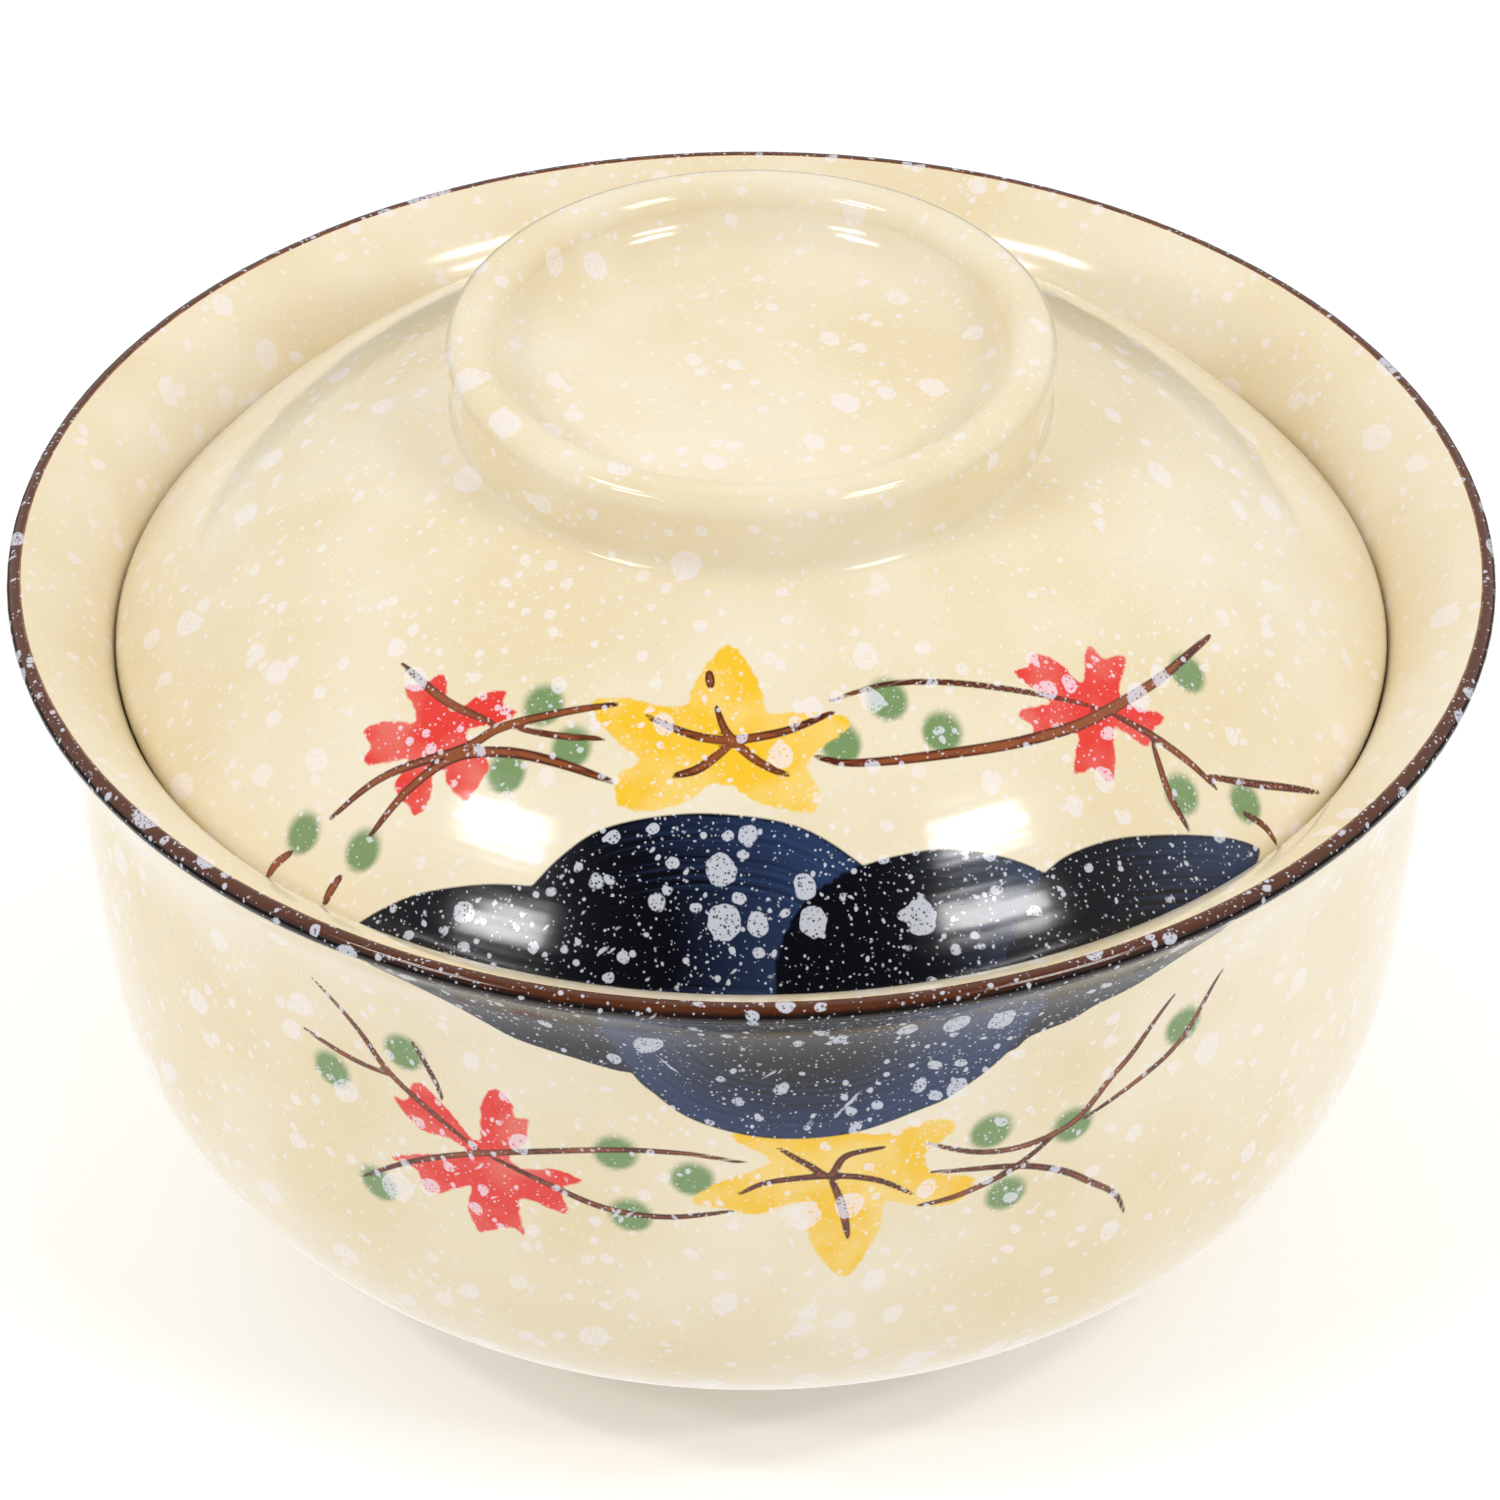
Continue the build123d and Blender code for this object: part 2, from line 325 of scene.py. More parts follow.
BOWL_HILLS = [
    [(372, 966), (436, 996), (495, 1028), (519, 1040), (571, 1057), (632, 1073), (700, 1070), (760, 1040)],
    [(940, 1060), (1008, 1052), (1031, 1036), (1071, 1020), (1096, 1005), (1143, 981), (1223, 930)],
    [(600, 1030), (632, 1073), (656, 1095), (687, 1117), (735, 1133), (787, 1139), (853, 1133),
     (917, 1111), (956, 1093), (1008, 1052), (1040, 1010)]]
BOWL_HILL_HEARTS = [(560, 1020), (1080, 990), (800, 1040)]    # where each hill is darkest
BOWL_HILL_HEART_REACH = (5.0, 18.0)     # from there, where the blue begins and where it is full
BUD_LENGTH = 5.2
BUD_WIDTH = 5.0
BUD_LEAN = 0.5                  # radians that the buds lean at most, each by another amount
STROKE_TIP = 0.4                # width of a stroke at its ends, as a share of its full width
FAR_OFF = 9.0                   # distance given to every point with no brushwork near it
SIGHT_STEPS = 900               # heights tried along each line of sight


def seen_on(pixels, heights, radii):
    """Where the camera's lines of sight through pixels first enter a turned surface.

    Each line is walked down through the given heights. It enters between the last height where it is further
    from the axis than the surface's radius and the next. Returns angle from the front, radius and height.
    """
    pixels = np.asarray(pixels, float)
    across = (pixels[:, :1] - AXIS_PIXEL_X) / FOCAL_PIXELS
    up = (PHOTO_SIDE / 2 - pixels[:, 1:]) / FOCAL_PIXELS
    line = FORWARD + across * RIGHTWARD + up * UPWARD
    reach = (heights[None] - EYE[2]) / line[:, 2:]
    x, y = reach * line[:, :1], EYE[1] + reach * line[:, 1:2]
    depth = radii[None] - np.hypot(x, y)
    inner = np.maximum(np.argmax(depth > 0, axis=1), 1)
    pick = np.arange(len(pixels))
    share = depth[pick, inner - 1] / (depth[pick, inner - 1] - depth[pick, inner] + 1e-12)
    share = np.clip(share, 0, 1)
    x = x[pick, inner - 1] + share * (x[pick, inner] - x[pick, inner - 1])
    y = y[pick, inner - 1] + share * (y[pick, inner] - y[pick, inner - 1])
    height = heights[inner - 1] + share * (heights[inner] - heights[inner - 1])
    return np.arctan2(x, -y), np.hypot(x, y), height


def rounded_path(points, closed, parts=6):
    """Curve through points: each span is a cubic whose end slopes are half the step between neighbours."""
    points = np.asarray(points, float)
    if closed:
        padded = np.vstack([points[-1:], points, points[:2]])
    else:
        padded = np.vstack([2 * points[0] - points[1], points, 2 * points[-1] - points[-2]])
    a, b, c, d = padded[:-3, None], padded[1:-2, None], padded[2:-1, None], padded[3:, None]
    share = np.linspace(0, 1, parts, endpoint=False)[None, :, None]
    curve = (b + share * (c - a) / 2 + share ** 2 * (a - 2.5 * b + 2 * c - d / 2)
             + share ** 3 * (1.5 * (b - c) + (d - a) / 2))
    curve = curve.reshape(-1, 2)
    return curve if closed else np.vstack([curve, points[-1:]])


def stroke_field(spots, path, width):
    """Distance from each spot to the edge of a brush stroke, below zero inside it.

    The stroke is as wide as given at its middle, and the root of a sine thins it to its tips. The distance is
    to the nearest point of each straight part of its path, less half the width there.
    """
    length = run_length(path)
    fullness = np.sqrt(np.sin(np.pi * length / length[-1]).clip(0))
    half = width / 2 * (STROKE_TIP + (1 - STROKE_TIP) * fullness)
    start, step = path[:-1], np.diff(path, axis=0)
    along = ((spots[:, None] - start) * step).sum(-1) / (step ** 2).sum(-1)
    along = along.clip(0, 1)
    nearest = start + along[..., None] * step
    away = np.linalg.norm(spots[:, None] - nearest, axis=-1)
    return (away - half[:-1] - along * np.diff(half)).min(axis=1)


def shape_field(spots, outline):
    """Distance from each spot to a closed outline, below zero inside it.

    A spot is inside where a line from it to the left crosses the outline an odd number of times.
    """
    start, end = outline, np.roll(outline, -1, axis=0)
    step = end - start
    along = (((spots[:, None] - start) * step).sum(-1) / (step ** 2).sum(-1).clip(1e-9)).clip(0, 1)
    away = np.linalg.norm(spots[:, None] - start - along[..., None] * step, axis=-1).min(axis=1)
    spans = (start[:, 1] > spots[:, 1:]) != (end[:, 1] > spots[:, 1:])
    rise = np.where(np.abs(step[:, 1]) < 1e-12, 1e-12, step[:, 1])
    crossing = start[:, 0] + (spots[:, 1:] - start[:, 1]) * step[:, 0] / rise
    within = (spans & (crossing < spots[:, :1])).sum(axis=1) % 2 == 1
    return np.where(within, -away, away)


def bud_field(spots, middle, tilt):
    """How thickly a bud is painted, 0 to 1: an ellipse that stops sharply below and fades out upwards.

    The fade ends 1.15 half sizes from the middle and is 0.2 of one wide at the foot, up to 0.5 at the tip.
    """
    offset = spots - middle
    along = offset @ np.array([math.sin(tilt), math.cos(tilt)]) / (BUD_LENGTH / 2)
    across = offset @ np.array([math.cos(tilt), -math.sin(tilt)]) / (BUD_WIDTH / 2)
    softness = 0.2 + 0.3 * np.clip(0.5 + 0.6 * along, 0, 1)
    return np.clip((1.15 - np.hypot(along, across)) / softness, 0, 1)


def brushwork(piece, spots, active, strokes, buds, red, yellow, hills, hearts, heart_reach):
    """Gives a piece one number per vertex for each kind of brush mark: its distance to the mark's edge in mm.

    Buds have a thickness instead, and hills also have how blue they are and how deep inside their outline.
    """
    near = spots[active]
    far, none = np.full(len(near), FAR_OFF), np.zeros(len(near))
    fields = {"twig": far, "bud": none, "hill": far, "hill_blue": none, "hill_depth": none}
    for width, path in strokes:
        fields["twig"] = np.minimum(fields["twig"], stroke_field(near, rounded_path(path, False), width))
    for number, middle in enumerate(buds):
        fields["bud"] = np.maximum(fields["bud"], bud_field(near, middle, BUD_LEAN * math.sin(2.4 * number)))
    fields["red_leaf"] = np.min([shape_field(near, rounded_path(leaf, True, 4)) for leaf in red], axis=0)
    fields["yellow_leaf"] = shape_field(near, rounded_path(yellow, True, 4))
    for outline, heart in zip(hills, hearts, strict=True):
        distance = shape_field(near, outline)
        blue = np.interp(np.linalg.norm(near - heart, axis=1), heart_reach, (0.0, 1.0))
        fields["hill_blue"] = np.where(distance < 0, blue, fields["hill_blue"])
        fields["hill_depth"] = np.where(distance < 0, -distance, fields["hill_depth"])
        fields["hill"] = np.minimum(fields["hill"], distance)
    for name, values in fields.items():
        whole = np.full(len(spots), FAR_OFF if name in ("twig", "hill", "red_leaf", "yellow_leaf") else 0.0)
        whole[active] = np.minimum(values, FAR_OFF)
        layer = piece.data.attributes.new(name, "FLOAT", "POINT")
        layer.data.foreach_set("value", whole.astype(np.float32))


# The bowl's wall laid out flat: across is the angle times one radius, up is minus the distance below the lip.
WALL_CHART_RADIUS = 80.0
WALL_CHART_STEP = 0.2
WALL_CHART_FOOT = 10.0          # lowest height that the lines of sight are followed to
ABOVE_LIP = 12.0                # how far above the lip the hills that hang from it are closed
outer_flare = arc(outer_flare_centre, outer_flare_radius, 180, 180 + BAND_LOWER_ANGLE, WALL_CHART_STEP)
wall_line = joined(belly_curve, outer_flare)
wall_run = run_length(wall_line) - run_length(wall_line)[-1]
wall_walk = np.linspace(under_lip[1], WALL_CHART_FOOT, SIGHT_STEPS)


def on_wall(pixels):
    """Points of the flat layout of the wall that pixels of the photograph show."""
    wall_radii = np.interp(wall_walk, wall_line[:, 1], wall_line[:, 0])
    angle, _, height = seen_on(pixels, wall_walk, wall_radii)
    return np.column_stack([angle * WALL_CHART_RADIUS, np.interp(height, wall_line[:, 1], wall_run)])


def hung_from_rim(pixels):
    """A hill that hangs from the lip: its lower outline, closed well above the lip."""
    edge = rounded_path(on_wall(pixels), False)
    return np.vstack([edge, [edge[-1, 0], ABOVE_LIP], [edge[0, 0], ABOVE_LIP]])


wall_rows = (bowl_row >= len(foot) - 1) & (bowl_row < len(foot) + len(outside))
bowl_spots = np.column_stack([bowl_angle * WALL_CHART_RADIUS,
                              np.interp(bowl_profile[bowl_row, 1], wall_line[:, 1], wall_run)])
brushwork(glazed_bowl, bowl_spots, wall_rows & (np.abs(bowl_angle) < math.radians(BOWL_PAINTED_TO)),
          [(width, on_wall(path)) for width, path in BOWL_TWIGS + BOWL_VEINS],
          on_wall(BOWL_BUDS), [on_wall(BOWL_RED_LEAF)], on_wall(BOWL_YELLOW_LEAF),
          [hung_from_rim(path) for path in BOWL_HILLS], on_wall(BOWL_HILL_HEARTS), BOWL_HILL_HEART_REACH)

# Colours of the glazes and of the paints under them.
CREAM = "#f6eacf"
DEEP_CREAM = "#efdeb6"
WHITE_FLECK = "#fcf3ec"
FLECK_COVER = (0.58, 0.65, 0.78)        # of red, green and blue: a thin white lets more warm light through
TWIG_EDGE = "#542619"
TWIG_CORE = "#97532f"
BUD_GREEN = "#7f9b66"
LEAF_RED = "#ec3b31"
LEAF_PINK = "#ef6f61"
LEAF_YELLOW = "#fdcb32"
LEAF_STRAW = "#fdda7c"
HILL_NAVY = "#080912"
HILL_BLUE = "#2f4269"
BARE_CLAY = "#cdbb9b"
CLAY_GRIT = "#a8926d"
GLAZE_ROUGHNESS = 0.12
GLAZE_IOR = 1.5
CLAY_ROUGHNESS = 0.75
GLAZE_RELIEF = 0.06             # depth in mm of the unevenness of the thrown surface
RING_SHARE = 0.35               # fine rings round the pot, as a share of the slow waves in it
WIPED_EDGE = 0.1                # and how far in mm the wiped clay's edge is soft, either way
BRISTLES = 1.7                  # to the mm, in the brush that filled the hills

# Sizes in mm of the patterns in the glazes and paints, from one patch, wave or grain to the next.
CLOUD_SIZE = 25.0
CROWD_SIZE = 12.0
WAVE_SIZE = 9.0
WASH_SIZE = 7.0
RING_SIZE = 3.0
DRIFT_SIZE = 1.8
GRAIN_SIZE = 1.1
GRIT_SIZE = 0.5
NOISE_LOW, NOISE_HIGH = 0.35, 0.65      # nearly all the values of such a pattern lie between these

# The white flecks: spacing and largest radius in mm, the share of places that have one, how long each is
# along its own axes, and how these are turned. Drops and dust take their share from a slow crowding instead.
FINE_FLECKS = [(1.6, 0.42, (1.0, 1.0, 1.3)), (0.65, 0.18, (1.0, 1.0, 1.0))]
LARGE_FLECKS = [(2.9, 0.90, 0.65, (1.4, 1.0, 1.0), (0.3, 0.5, 0.8)),
                (5.3, 1.9, 0.6, (1.0, 1.2, 1.5), (0.9, 0.2, 0.4))]
THREADS = [(1.5, 0.26, 0.3, (1.0, 1.0, 12.0), (0.0, 0.75, 0.0)),
           (1.6, 0.24, 0.2, (1.0, 1.0, 10.0), (0.2, -0.7, 0.0))]
PINHOLES = (0.42, 0.19, 1.0)
PINHOLE_DEPTH = 0.85            # how much of a large fleck's cover is missing in its pinholes
FLECK_EDGE = 0.12               # softness of a fleck's edge in mm
PINHOLE_EDGE = 0.08
FLECK_WANDER = 0.8              # how far in mm a noise moves the flecks' outlines: none is quite round
LEAF_WAVER = 0.35               # and how far in mm the edges of the leaves waver


def colour(code):
    """Linear RGBA from an sRGB hex code: low values are divided by 12.92, the rest follow the 2.4 power."""
    channels = [int(code[i:i + 2], 16) / 255 for i in (1, 3, 5)]
    return (*(c / 12.92 if c <= 0.04045 else ((c + 0.055) / 1.055) ** 2.4 for c in channels), 1.0)


def add_node(tree, kind, inputs, output=0, **settings):
    """Adds a shader node with its settings, puts a value or a link on each input, returns an output."""
    node = tree.nodes.new("ShaderNode" + kind)
    for name, value in settings.items():
        setattr(node, name, value)
    for name, value in inputs.items():
        if isinstance(value, bpy.types.NodeSocket):
            tree.links.new(value, node.inputs[name])
        else:
            node.inputs[name].default_value = value
    return node.outputs[output]


def flecks(tree, place, cell, radius, share, length=(1.0, 1.0, 1.0), turn=(0.0, 0.0, 0.0),
           edge=FLECK_EDGE):
    """White spots scattered through a glaze, as a cover from 0 to 1.

    Every cell of a three-dimensional cell pattern holds one point. A spot shows round it as far as is drawn
    for that cell, from 0.35 of the radius up, and only a share of the cells have one.
    """
    moved = add_node(tree, "Mapping", {
        "Vector": place, "Rotation": turn, "Scale": length,
        "Location": (cell * MM, 2 * radius * MM, 0.0)}, vector_type="TEXTURE")
    nearest = add_node(tree, "TexVoronoi",
                       {"Vector": moved, "Scale": 1 / (cell * MM)}, voronoi_dimensions="3D")
    drawn = add_node(tree, "SeparateColor", {0: nearest.node.outputs["Color"]})
    reach = add_node(tree, "MapRange",
                     {"Value": drawn, "To Min": 0.35 * radius / cell, "To Max": radius / cell})
    there = add_node(tree, "Math", {0: drawn.node.outputs[1], 1: share}, operation="LESS_THAN")
    reach = add_node(tree, "Math", {0: reach, 1: there}, operation="MULTIPLY")
    depth = add_node(tree, "Math", {0: reach, 1: nearest}, operation="SUBTRACT")
    return add_node(tree, "MapRange",
                    {"Value": depth, "From Min": -0.4 * edge / cell, "From Max": 0.6 * edge / cell})


def fleck_cover(tree, place):
    """All the white flecks: blots and splashes pierced by pinholes, then drops, dust and thin threads."""
    drift = add_node(tree, "TexNoise",
                     {"Vector": place, "Scale": 1 / (DRIFT_SIZE * MM), "Detail": 2.0}, "Color")
    shift = add_node(tree, "VectorMath", {0: drift, 1: (FLECK_WANDER * MM,) * 3, 2: place},
                     operation="MULTIPLY_ADD")
    crowd = add_node(tree, "TexNoise", {"Vector": place, "Scale": 1 / (CROWD_SIZE * MM), "Detail": 1.0})
    crowd = add_node(tree, "MapRange", {
        "Value": crowd, "From Min": NOISE_LOW, "From Max": NOISE_HIGH, "To Min": 0.5, "To Max": 1.0})
    large = [flecks(tree, shift, *kind) for kind in LARGE_FLECKS]
    fine = [flecks(tree, shift, cell, radius, crowd, length) for cell, radius, length in FINE_FLECKS]
    fine += [flecks(tree, shift, *kind) for kind in THREADS]
    holes = flecks(tree, place, *PINHOLES, edge=PINHOLE_EDGE)
    solid = add_node(tree, "Math", {0: holes, 1: -PINHOLE_DEPTH, 2: 1.0}, operation="MULTIPLY_ADD")
    cover = add_node(tree, "Math", {0: large[0], 1: large[1]}, operation="MAXIMUM")
    cover = add_node(tree, "Math", {0: cover, 1: solid}, operation="MULTIPLY")
    for layer in fine:
        cover = add_node(tree, "Math", {0: cover, 1: layer}, operation="MAXIMUM")
    return cover


def flecked(tree, place, ground):
    """White flecks over a ground: each of its colours moves towards white by its own share of the cover."""
    veil = add_node(tree, "VectorMath",
                    {0: FLECK_COVER, "Scale": fleck_cover(tree, place)}, operation="SCALE")
    lift = add_node(tree, "VectorMath", {0: colour(WHITE_FLECK)[:3], 1: ground}, operation="SUBTRACT")
    return add_node(tree, "VectorMath", {0: veil, 1: lift, 2: ground}, operation="MULTIPLY_ADD")


def cream_ground(tree, place):
    """Cream glaze before any paint, paler and deeper in slow clouds as its coat is thick or thin."""
    cloud = add_node(tree, "TexNoise", {"Vector": place, "Scale": 1 / (CLOUD_SIZE * MM), "Detail": 2.0})
    tone = add_node(tree, "MapRange", {"Value": cloud, "From Min": NOISE_LOW, "From Max": NOISE_HIGH})
    return add_node(tree, "Mix", {0: tone, 6: colour(DEEP_CREAM), 7: colour(CREAM)}, 2, data_type="RGBA")


def brushed(tree, below, paint, mark, softness, wobble=0.0):
    """Paint over what is below wherever a mark's distance is under zero, with a wobble along its edge."""
    distance = add_node(tree, "Attribute", {}, "Fac", attribute_name=mark)
    uneven = add_node(tree, "Math", {0: distance, 1: wobble}, operation="ADD")
    cover = add_node(tree, "MapRange",
                     {"Value": uneven, "From Min": softness / 2, "From Max": -softness / 2})
    return add_node(tree, "Mix", {0: cover, 6: below, 7: paint}, 2, data_type="RGBA")


def paint_layers(tree, place, ground):
    """The brushwork over the cream, in the order of painting: buds, leaves, hills, then twigs and veins."""
    slow = add_node(tree, "TexNoise", {"Vector": place, "Scale": 1 / (WASH_SIZE * MM), "Detail": 2.0})
    wash = add_node(tree, "MapRange", {"Value": slow, "From Min": 0.42, "From Max": 0.66})
    grain = add_node(tree, "TexNoise", {"Vector": place, "Scale": 1 / (GRAIN_SIZE * MM), "Detail": 2.0})
    wobble = add_node(tree, "MapRange", {"Value": grain, "To Min": -LEAF_WAVER, "To Max": LEAF_WAVER})
    bud = add_node(tree, "Attribute", {}, "Fac", attribute_name="bud")
    painted = add_node(tree, "Mix", {0: bud, 6: ground, 7: colour(BUD_GREEN)}, 2, data_type="RGBA")
    red = add_node(tree, "Mix", {0: wash, 6: colour(LEAF_RED), 7: colour(LEAF_PINK)}, 2, data_type="RGBA")
    painted = brushed(tree, painted, red, "red_leaf", softness=0.3, wobble=wobble)
    yellow = add_node(tree, "Mix",
                      {0: wash, 6: colour(LEAF_YELLOW), 7: colour(LEAF_STRAW)}, 2, data_type="RGBA")
    painted = brushed(tree, painted, yellow, "yellow_leaf", softness=0.35, wobble=wobble)

    depth = add_node(tree, "Attribute", {}, "Fac", attribute_name="hill_depth")
    along = add_node(tree, "SeparateXYZ", {0: place})
    bristle = add_node(tree, "CombineXYZ", {0: depth, 1: along})
    streaks = add_node(tree, "TexNoise",
                       {"Vector": bristle, "Scale": BRISTLES, "Detail": 4.0}, noise_dimensions="2D")
    blue = add_node(tree, "Attribute", {}, "Fac", attribute_name="hill_blue")
    loaded = add_node(tree, "Math", {0: blue, 1: 0.8, 2: streaks}, operation="MULTIPLY_ADD")
    blueness = add_node(tree, "MapRange", {"Value": loaded, "From Min": 0.7, "From Max": 1.45})
    navy = add_node(tree, "Mix",
                    {0: blueness, 6: colour(HILL_NAVY), 7: colour(HILL_BLUE)}, 2, data_type="RGBA")
    painted = brushed(tree, painted, navy, "hill", softness=0.25)
    painted = brushed(tree, painted, colour(TWIG_EDGE), "twig", softness=0.2)
    dry = add_node(tree, "MapRange", {
        "Value": slow, "From Min": NOISE_LOW, "From Max": NOISE_HIGH, "To Min": 0.12, "To Max": 0.35})
    return brushed(tree, painted, colour(TWIG_CORE), "twig", softness=0.25, wobble=dry)


def from_axis(tree, place):
    """Distance of a place from the Z axis: the length of its x and y alone."""
    level = add_node(tree, "VectorMath", {0: place, 1: (1.0, 1.0, 0.0)}, operation="MULTIPLY")
    return add_node(tree, "VectorMath", {0: level}, "Value", operation="LENGTH")


def cleared_tree(owner):
    """Node tree of a material or a world, with nothing in it."""
    owner.use_nodes = True
    owner.node_tree.nodes.clear()
    return owner.node_tree


def glazed(name, surface, bare_below):
    """Glossy glaze over a coloured surface, with flecks in it and a thrown pot's slow unevenness under it.

    surface(tree, place) gives the colour under the flecks. The clay below a height in mm is wiped clean.
    """
    material = bpy.data.materials.new(name)
    tree = cleared_tree(material)
    place = add_node(tree, "TexCoord", {}, "Object")
    base = flecked(tree, place, surface(tree, place))
    height = add_node(tree, "SeparateXYZ", {0: place}, 2)

    down_wall = add_node(tree, "Math", {0: from_axis(tree, place), 1: height}, operation="SUBTRACT")
    rings = add_node(tree, "TexNoise",
                     {"W": down_wall, "Scale": 1 / (RING_SIZE * MM), "Detail": 1.0}, noise_dimensions="1D")
    waves = add_node(tree, "TexNoise", {"Vector": place, "Scale": 1 / (WAVE_SIZE * MM), "Detail": 2.0})
    relief = add_node(tree, "Math", {0: rings, 1: RING_SHARE, 2: waves}, operation="MULTIPLY_ADD")
    uneven = add_node(tree, "Bump", {"Strength": 1.0, "Distance": GLAZE_RELIEF * MM, "Height": relief})

    wiped = add_node(tree, "MapRange", {
        "Value": height, "From Min": (bare_below + WIPED_EDGE) * MM,
        "From Max": (bare_below - WIPED_EDGE) * MM})
    grit = add_node(tree, "TexNoise", {"Vector": place, "Scale": 1 / (GRIT_SIZE * MM), "Detail": 3.0})
    clay = add_node(tree, "Mix", {0: grit, 6: colour(BARE_CLAY), 7: colour(CLAY_GRIT)}, 2, data_type="RGBA")
    base = add_node(tree, "Mix", {0: wiped, 6: base, 7: clay}, 2, data_type="RGBA")
    roughness = add_node(tree, "MapRange",
                         {"Value": wiped, "To Min": GLAZE_ROUGHNESS, "To Max": CLAY_ROUGHNESS})
    shader = add_node(tree, "BsdfPrincipled",
                      {"Base Color": base, "Roughness": roughness, "IOR": GLAZE_IOR, "Normal": uneven})
    tree.links.new(shader, tree.nodes.new("ShaderNodeOutputMaterial").inputs["Surface"])
    return material


def painted_cream(tree, place):
    """Cream ground with the brushwork over it."""
    return paint_layers(tree, place, cream_ground(tree, place))


glazed_bowl.data.materials.append(glazed("cream_glaze_dipped_bowl", painted_cream, FOOT_WIPED))
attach(glazed_bowl, "bowl")
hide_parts("bowl")

# Lip
# A coat of iron-brown glaze brushed round the full-round lip, flush with the cream above and below it.
# It breaks to a redder brown where it is thin on the crest, below its middle it is painted nearly black as a
# dark reflection, and the bowl's white flecks run on over it.
IRON_BROWN = "#5a301b"
# painted dark reflection, laid on the lower half of the lip
IRON_DARK_REFLECTION = "#150c0a"
IRON_FRINGE = "#b97f52"
PATCH_SIZE = 4.0                # in mm, from one patch of thicker coat to the next
DARK_REFLECTION_ENDS = (0.45, 1.05)   # heights above the lip's middle between which the painted dark reflection gives way to the brown
FRINGE_REACH = (0.05, -0.25)    # and distances outside of it between which it runs out, with a ragged edge
FRINGE_RAGS = 0.5               # how deep in mm that edge is cut

band_profile = joined(arc(lip_centre, LIP_RADIUS, BAND_LOWER_ANGLE, BAND_UPPER_ANGLE, CORNER_ROW),
                      arc(lip_centre, core_radius, BAND_UPPER_ANGLE, BAND_LOWER_ANGLE, CORNER_ROW))
brown_lip, _, _ = turned("brown_lip", band_profile, bowl_angles, ends_on_axis=False)


def iron_glaze(tree, place):
    """Iron brown on the crest, and painted nearly black below the lip's middle as a dark reflection, in
    patches.

    Towards the cream inside the lip the coat thins to an orange fringe with a ragged edge.
    """
    patches = add_node(tree, "TexNoise", {"Vector": place, "Scale": 1 / (PATCH_SIZE * MM), "Detail": 3.0})
    height = add_node(tree, "SeparateXYZ", {0: place}, 2)
    # painted dark reflection: below these heights the lip turns from brown to near black
    thin = add_node(tree, "MapRange", {
        "Value": height, "From Min": (lip_centre[1] + DARK_REFLECTION_ENDS[0]) * MM,
        "From Max": (lip_centre[1] + DARK_REFLECTION_ENDS[1]) * MM})
    thin = add_node(tree, "Math", {0: patches, 1: 0.7, 2: thin}, operation="MULTIPLY_ADD")
    thin = add_node(tree, "MapRange", {"Value": thin, "From Min": 0.35, "From Max": 1.15})
    brown = add_node(tree, "Mix",
                     {0: thin, 6: colour(IRON_DARK_REFLECTION), 7: colour(IRON_BROWN)}, 2, data_type="RGBA")
    ragged = add_node(tree, "Math", {0: patches, 1: FRINGE_RAGS * MM, 2: from_axis(tree, place)},
                      operation="MULTIPLY_ADD")
    fringe = add_node(tree, "MapRange", {
        "Value": ragged, "From Min": (lip_centre[0] + FRINGE_REACH[0]) * MM,
        "From Max": (lip_centre[0] + FRINGE_REACH[1]) * MM})
    return add_node(tree, "Mix", {0: fringe, 6: brown, 7: colour(IRON_FRINGE)}, 2, data_type="RGBA")


brown_lip.data.materials.append(glazed("iron_glaze_brushed_lip", iron_glaze, FOOT_WIPED))
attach(brown_lip, "bowl")
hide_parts("lip_glaze_band")

# Lid
# A thrown dome with a rounded edge that sits in the bowl's flare, and a ring knob that serves as its foot
# when it is used as a dish. The same cream glaze, with the brushwork in front of the knob.
SEAT_GAP = 0.1                  # the lid's edge is 0.2 mm fuller than the bare form, by its coat of glaze
SEAT_ANGLE = 17.1
LID_EDGE_RADIUS = 2.4
DOME_RISE = 38.6
LID_SHOULDER = 6.0
LID_FLOOR = 5.2
KNOB_DIAMETER = 73.0
KNOB_RISE = 11.3
KNOB_ROLL = 3.0
KNOB_DRAFT = 1.0
DISH_DRAFT = 2.0
KNOB_DISH = 7.1
KNOB_ROOT_FILLET = 1.8          # in the photograph the highlight lies right in this corner
DISH_FILLET = 7.0               # the glaze pools in this corner and rounds it well past the clay
LID_EDGE_WIPED = 1.7            # the lid is bare from here below the middle of its edge, where it was fired
LID_PAINT_ROW = 0.55            # rows of the lid's mesh: under the brushwork
DOME_ROW = 1.0                  # on the dome above it
EDGE_ROW = 0.8                  # round the lid's edge
KNOB_ROW = 1.5                  # up the knob's side
PAINTED_ANGLE = 65.0            # the dome carries brushwork below this angle from its centre
LID_PAINTED_TO = 69.5           # degrees to either side of the front that may carry it
KNOB_CLEAR = 41.0               # and the radius that it keeps outside of
OUTER_FACE = 0.4                # distance off the dome within which a point counts as on it

edge_reach = inner_flare_radius + SEAT_GAP + LID_EDGE_RADIUS
edge_centre = inner_flare_centre + edge_reach * heading(180 - SEAT_ANGLE)
inner_rise = DOME_RISE - LID_EDGE_RADIUS
dome_radius = (edge_centre[0] ** 2 + inner_rise ** 2) / (2 * inner_rise) + LID_EDGE_RADIUS
dome_centre = np.array([0.0, edge_centre[1] + DOME_RISE - dome_radius])
edge_angle = math.degrees(math.atan2(edge_centre[1] - dome_centre[1], edge_centre[0]))


def dome_height(radius):
    """Height of the dome's outer surface at a radius: its centre plus the other leg of the right triangle."""
    return dome_centre[1] + math.sqrt(dome_radius ** 2 - radius ** 2)


